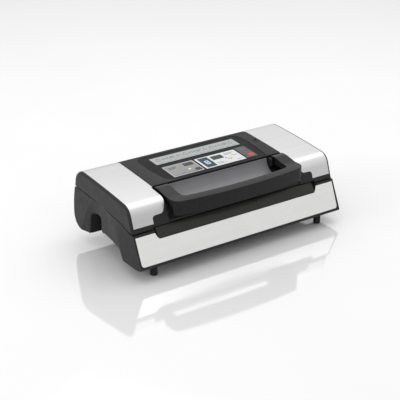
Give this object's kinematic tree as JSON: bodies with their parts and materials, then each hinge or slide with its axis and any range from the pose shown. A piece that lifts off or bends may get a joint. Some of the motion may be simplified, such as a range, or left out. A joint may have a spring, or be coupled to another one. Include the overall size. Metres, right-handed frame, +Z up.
{
  "type": "vacuum sealer",
  "caption": "Countertop vacuum sealer: wedge-shaped black base and hinged lid with brushed steel skins, a dark control fascia and a U-shaped lifting handle.",
  "frame": {"origin": "centre of the bounding box's footprint, at the level of the feet", "axes": "+Z up, -Y the front with the handle and the bag mouth, +X the user's right"},
  "size_m": [0.388, 0.1995, 0.1236],
  "materials": {
    "body_plastic": "satin black plastic, fine grain",
    "lid_plastic": "satin black plastic, fine grain",
    "under_plastic": "matte black plastic",
    "screw_steel": "zinc-plated steel",
    "brushed_front": "brushed along X",
    "brushed_left": "brushed along X",
    "brushed_right": "brushed along X",
    "ledge_gloss": "glossy dark grey",
    "deck_plastic": "satin black",
    "tray_metal": "satin",
    "gasket_lower": "closed-cell foam",
    "gasket_upper": "closed-cell foam",
    "bar_insulator": "heat-resistant laminate",
    "strip_alloy": "bright resistance strip",
    "ptfe": "glass cloth coated with PTFE",
    "keeper_steel": "pressed steel",
    "pin_steel": "ground steel",
    "foot_rubber": "matte",
    "pump_plastic": "moulded",
    "motor_steel": "drawn steel can",
    "core_steel": "lacquered laminations",
    "board_green": "solder mask",
    "hose_rubber": "silicone tube",
    "switch_plastic": "moulded",
    "inlet_plastic": "moulded",
    "cover_plastic": "satin dark grey",
    "fascia_plastic": "satin film",
    "label_silver": "printed film",
    "label_grey": "printed film",
    "label_white": "printed film",
    "label_dark": "printed film",
    "display_glass": "tinted window",
    "key_red": "lit red",
    "key_dark": "satin",
    "lens_green": "clear tinted",
    "lens_violet": "clear tinted",
    "lens_yellow": "clear tinted",
    "port_plastic": "moulded",
    "liner_plastic": "satin black",
    "pressure_rubber": "silicone rubber",
    "apron_gloss": "glossy dark grey",
    "handle_plastic": "satin black",
    "shaft_steel": "ground steel",
    "hook_steel": "pressed steel"
  },
  "bodies": {
    "base": {"base_housing": "body_plastic", "bottom_cover": "under_plastic", "bottom_screws": "screw_steel", "front_panel": "brushed_front", "bag_ledge": "ledge_gloss", "chamber_deck": "deck_plastic", "drip_tray": "tray_metal", "lower_gasket": "gasket_lower", "heater_bar": "bar_insulator", "sealing_strip": "strip_alloy", "ptfe_tape": "ptfe", "latch_keeper_left": "keeper_steel", "latch_keeper_right": "keeper_steel", "hinge_pin_left": "pin_steel", "hinge_pin_right": "pin_steel", "foot_front_left": "foot_rubber", "foot_front_right": "foot_rubber", "foot_rear_left": "foot_rubber", "foot_rear_right": "foot_rubber", "vacuum_pump": "pump_plastic", "pump_motor": "motor_steel", "transformer": "core_steel", "power_board": "board_green", "vacuum_hose": "hose_rubber", "lid_switch": "switch_plastic", "mains_inlet": "inlet_plastic"},
    "lid": {"lid_shell": "lid_plastic", "left_top_panel": "brushed_left", "right_top_panel": "brushed_right", "centre_cover": "cover_plastic", "control_fascia": "fascia_plastic", "guide_strip": "label_silver", "left_label": "label_grey", "middle_label": "label_white", "right_label": "label_dark", "display_window": "display_glass", "lens_green": "lens_green", "lens_violet": "lens_violet", "lens_yellow": "lens_yellow", "control_board": "board_green", "accessory_port": "port_plastic", "lid_liner": "liner_plastic", "upper_gasket": "gasket_upper", "pressure_bar": "pressure_rubber", "front_apron": "apron_gloss", "handle_pin_left": "pin_steel", "handle_pin_right": "pin_steel"},
    "handle": {"handle": "handle_plastic"},
    "latch": {"latch_shaft": "shaft_steel", "latch_hook_left": "hook_steel", "latch_hook_right": "hook_steel"},
    "red_key": {"key_red": "key_red"},
    "seal_key": {"key_seal": "key_dark"},
    "mode_key": {"key_mode": "key_dark"},
    "food_key": {"key_food": "key_dark"}
  },
  "joints": [
    {"name": "lid_hinge", "type": "hinge", "parent": "base", "child": "lid", "pos_m": [0, 0.093, 0.0924], "axis": [-1, 0, 0], "range_deg": [0, 65]},
    {"name": "handle_pivot", "type": "hinge", "parent": "lid", "child": "handle", "pos_m": [0, -0.032, 0.109], "axis": [-1, 0, 0], "range_deg": [0, 30]},
    {"name": "latch_turn", "type": "hinge", "parent": "lid", "child": "latch", "pos_m": [0, -0.02, 0.097], "axis": [-1, 0, 0], "range_deg": [0, 15]},
    {"name": "red_key_press", "type": "slide", "parent": "lid", "child": "red_key", "axis": [0, 0.1034, -0.9946], "range_m": [0, 0.0006], "stiffness_N_per_m": 300, "springref_m": -0.0005},
    {"name": "seal_key_press", "type": "slide", "parent": "lid", "child": "seal_key", "axis": [0, 0.0916, -0.9958], "range_m": [0, 0.0006], "stiffness_N_per_m": 300, "springref_m": -0.0005},
    {"name": "mode_key_press", "type": "slide", "parent": "lid", "child": "mode_key", "axis": [0, 0.0916, -0.9958], "range_m": [0, 0.0006], "stiffness_N_per_m": 300, "springref_m": -0.0005},
    {"name": "food_key_press", "type": "slide", "parent": "lid", "child": "food_key", "axis": [0, 0.1034, -0.9946], "range_m": [0, 0.0006], "stiffness_N_per_m": 300, "springref_m": -0.0005}
  ],
  "couplings": [
    {"joint": "latch_turn", "follows": "handle_pivot", "ratio": 0.5}
  ]
}
